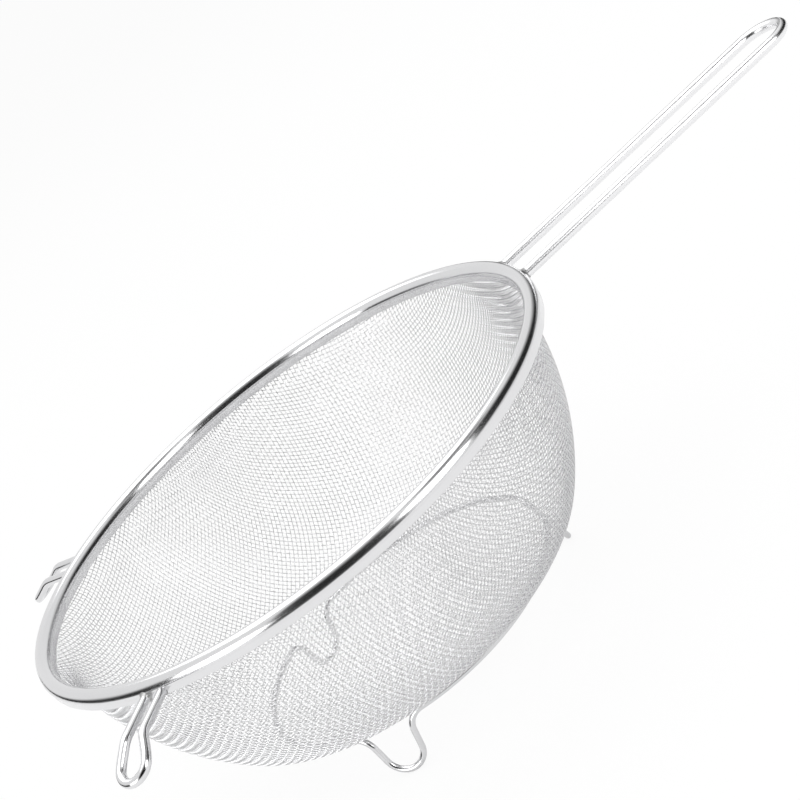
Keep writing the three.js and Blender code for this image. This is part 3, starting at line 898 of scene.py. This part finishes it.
handle_way = (math.cos(handle_tilt), 0, math.sin(handle_tilt))
for side, sign in (("far", 1), ("near", -1)):
    spot = on_handle(np.array([[root_reach, sign * handle_half]]))[0]
    name, node = f"bead_handle_{side}", f"handle_weld_{side}"
    weld_bead(name, spot, handle_way, handle_diameter, 1.3 * sign, node)
for side, lug in lugs.items():
    way = lug["turn"] + lug["skew"]
    for leg_name, sign in (("left", 1), ("right", -1)):
        end = np.array([[lug_weld_reach, sign * lug["leg_half"]]])
        spot = on_lug(end, lug["turn"], lug["skew"])[0]
        name, node = f"bead_lug_{side}_{leg_name}", f"lug_weld_{side}_{leg_name}"
        weld_bead(name, spot, (math.cos(way), math.sin(way), 0), lug_diameter, way + sign, node)

# %% [markdown]
# The core wire lies inside the rim, where the cloth is turned over it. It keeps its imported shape
# and gets the wire's steel.

# %% Core wire
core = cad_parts["rim_core_wire"]
for slot in core.material_slots:
    slot.material = wire_steel
print("core wire slots:", len(core.material_slots))

# %% [markdown]
# ## Floor, cards and light
#
# Bright metal shows only what is round it, so the surroundings matter as much as the finish. The
# strainer stands on a plain white floor. Its paint is matt and takes the soft shadow. For the camera
# most of it glows at a strength of 1, which is plain white, so the floor runs into the background.


# %% Floor
def stage_mesh(name, points, faces, material):
    """A piece of the studio, which is no part of the strainer."""
    mesh = bpy.data.meshes.new(name)
    mesh.from_pydata(points, [], faces)
    mesh.materials.append(material)
    piece = bpy.data.objects.new(name, mesh)
    bpy.context.scene.collection.objects.link(piece)
    return piece


floor_white, nodes = new_finish("floor_white")
matt = nodes.add("ShaderNodeBsdfDiffuse", {"Color": (0.72, 0.72, 0.72, 1)})
glow = nodes.add("ShaderNodeEmission", {"Color": (1, 1, 1, 1), "Strength": 1.0})
light_path = nodes.tree.nodes.new("ShaderNodeLightPath")
shares = {"Is Camera Ray": 0.9, "Is Glossy Ray": 0.15, "Is Transmission Ray": 0.9}
white = sum(Socket(nodes, light_path.outputs[kind]) * share for kind, share in shares.items())
mixed = nodes.add("ShaderNodeMixShader", {0: white, 1: matt, 2: glow})
nodes.add("ShaderNodeOutputMaterial", {"Surface": mixed})
floor_radius, floor_sides, floor_level = 12, 96, -0.0001
ring = np.linspace(0, 2 * math.pi, floor_sides, endpoint=False)
floor_points = [(floor_radius * math.cos(a), floor_radius * math.sin(a), floor_level) for a in ring]
stage_mesh("floor", floor_points, [list(range(floor_sides))], floor_white)
print(f"floor radius {floor_radius} m")

# %% [markdown]
# Polished steel looks like steel because it mirrors something dark. A photographer stands black paper
# round the object, out of the picture, and the rim then shows dark lines that taper off where the
# paper ends. Here each card is a curved sheet round the bowl with a dark band that fades to the sky's
# white above and below. It is seen in reflections alone, and it casts no shadow. A card has its
# distance from the bowl's axis in metres and the darkness of its band, at most 1. Then, for a few
# directions round the bowl in degrees, it has four heights in metres: where the card starts, where
# the dark band starts and ends, and where the card ends. Between those directions the heights change
# evenly.

# %% Cards with dark bands
cards = {
    "front": (1.3, 1.0, {-128: (0.08, 0.13, 1.25, 3.50), -70: (0.10, 0.16, 1.25, 3.50)}),
    "right": (0.8, 1.0, {
        -37: (0.09, 0.14, 0.56, 1.03), -20: (0.09, 0.14, 0.55, 1.03), 0: (0.08, 0.12, 0.42, 0.82),
        10: (0.06, 0.11, 0.36, 0.71), 20: (0.05, 0.09, 0.29, 0.62), 32: (0.03, 0.05, 0.22, 0.52),
        42: (0.02, 0.04, 0.17, 0.42)}),
    "above": (0.6, 0.7, {-48: (0.58, 0.68, 1.90, 2.60), -5: (0.58, 0.68, 1.90, 2.60)}),
    "right_low": (0.42, 1.0, {
        30: (0.03, 0.06, 0.15, 0.30), 38: (0.02, 0.06, 0.12, 0.27), 51: (0.00, 0.01, 0.06, 0.20),
        64: (0.00, 0.02, 0.07, 0.13), 80: (0.00, 0.01, 0.04, 0.08)}),
    "left": (0.75, 1.0, {
        120: (0.00, 0.002, 0.01, 0.03), 134: (0.00, 0.002, 0.05, 0.10), 150: (0.00, 0.002, 0.10, 0.20),
        160: (0.00, 0.002, 0.13, 0.27), 170: (0.00, 0.002, 0.15, 0.30), 180: (0.00, 0.002, 0.20, 0.36),
        188: (0.00, 0.002, 0.26, 0.42), 197: (0.00, 0.002, 0.30, 0.46)}),
}
card_paper, nodes = new_finish("card_paper")
band = nodes.add("ShaderNodeAttribute", output="Fac", attribute_name="band")
shade = nodes.mix_colour(band, (0.92, 0.92, 0.92), (0.016, 0.016, 0.016))
glow = nodes.add("ShaderNodeEmission", {"Color": shade, "Strength": 1.0})
nodes.add("ShaderNodeOutputMaterial", {"Surface": glow})
columns = 48
for name, (distance, darkness, heights) in cards.items():
    turns = np.linspace(min(heights), max(heights), columns)
    levels = [np.interp(turns, list(heights), [h[k] for h in heights.values()]) for k in range(4)]
    x = axis_x * MM + distance * np.cos(np.radians(turns))
    y = distance * np.sin(np.radians(turns))
    points = np.vstack([np.stack([x, y, level], 1) for level in levels])
    corners = [k for k in range(3 * columns) if k % columns < columns - 1]
    faces = [(k, k + 1, k + columns + 1, k + columns) for k in corners]
    card = stage_mesh(f"card_{name}", points, faces, card_paper)
    layer = card.data.attributes.new("band", "FLOAT", "POINT")
    layer.data.foreach_set("value", np.repeat((0.0, darkness, darkness, 0.0), columns))
    card.visible_camera = False
    card.visible_diffuse = False
    card.visible_shadow = False
print("cards:", list(cards))


# %% [markdown]
# Two soft lamps stand at the left and the right, in front of the strainer, and make the two white
# ovals on the rim. A broad lamp above lights the inside of the bowl and the floor. The sky is an even
# white, a little under full strength, so that the cloth keeps its tone.


# %% Lamps and sky
def soft_lamp(name, shape, place, aim, width, tall, power):
    """A soft lamp at a place, in metres from the bowl's axis, that faces another place."""
    data = bpy.data.lights.new(name, "AREA")
    data.shape = shape
    data.size, data.size_y = width, tall
    data.energy = power
    lamp = bpy.data.objects.new(name, data)
    lamp.location = Vector(place) + Vector((axis_x * MM, 0, 0))
    way = Vector(aim) - Vector(place)
    lamp.rotation_euler = way.to_track_quat("-Z", "Y").to_euler()
    bpy.context.scene.collection.objects.link(lamp)


def around_bowl(turn, distance, height):
    """A place round the bowl's axis, by its direction in degrees."""
    turn = math.radians(turn)
    return distance * math.cos(turn), distance * math.sin(turn), height


bowl_middle = (0, 0, 0.1)
soft_lamp(
    "lamp_right", "ELLIPSE", around_bowl(-53, 1.15, 0.66), bowl_middle, width=0.72, tall=0.76, power=4.3)
soft_lamp(
    "lamp_left", "ELLIPSE", around_bowl(-147, 1.15, 0.42), bowl_middle, width=0.81, tall=0.53, power=3.8)
soft_lamp(
    "lamp_top", "RECTANGLE", (0, 0.5, 1.5), (0, 0.2, 0), width=1.6, tall=1.6, power=12.0)
world = bpy.data.worlds.new("white_sky")
world.use_nodes = True
world.node_tree.nodes.clear()
nodes = Nodes(world.node_tree)
sky = nodes.add("ShaderNodeBackground", {"Color": (1, 1, 1, 1), "Strength": 0.92})
nodes.add("ShaderNodeOutputWorld", {"Surface": sky})
bpy.context.scene.world = world
bpy.context.scene.view_settings.view_transform = "Standard"
print("three lamps and a white sky")
